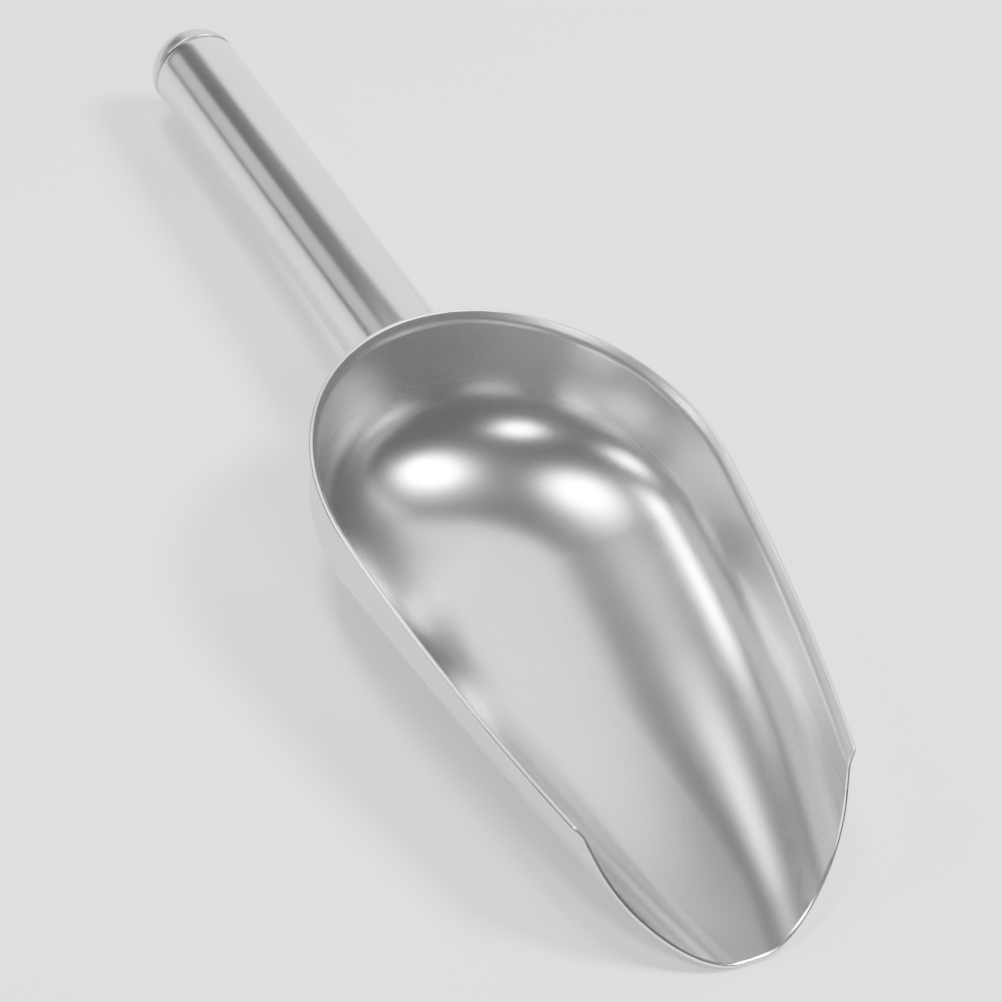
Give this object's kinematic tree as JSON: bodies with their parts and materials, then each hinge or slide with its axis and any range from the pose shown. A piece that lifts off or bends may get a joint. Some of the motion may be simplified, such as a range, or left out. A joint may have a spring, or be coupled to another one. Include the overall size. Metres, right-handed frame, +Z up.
{
  "type": "ice scoop",
  "caption": "Flat-bottomed stainless steel ice scoop with a rounded back, a flared rim, a sloping rounded mouth and a round hollow handle with a domed end.",
  "frame": {"origin": "on the flat underside of the bowl, straight below the centre of the rim's rounded back", "axes": "+X from the handle towards the mouth, +Z up out of the bowl, +Y to the left; the object is symmetric about the XZ plane"},
  "size_m": [0.3227, 0.1134, 0.0436],
  "materials": {
    "satin_steel": "satin polished, fine even grain",
    "polished_tube": "polished with a fine lengthwise grain",
    "spun_cap": "satin, spun grain",
    "weld_metal": "ground weld, slightly darker"
  },
  "bodies": {
    "root": {"bowl": "satin_steel", "handle_tube": "polished_tube", "handle_end_cap": "spun_cap", "cap_weld": "weld_metal", "bowl_weld": "weld_metal"}
  },
  "joints": []
}
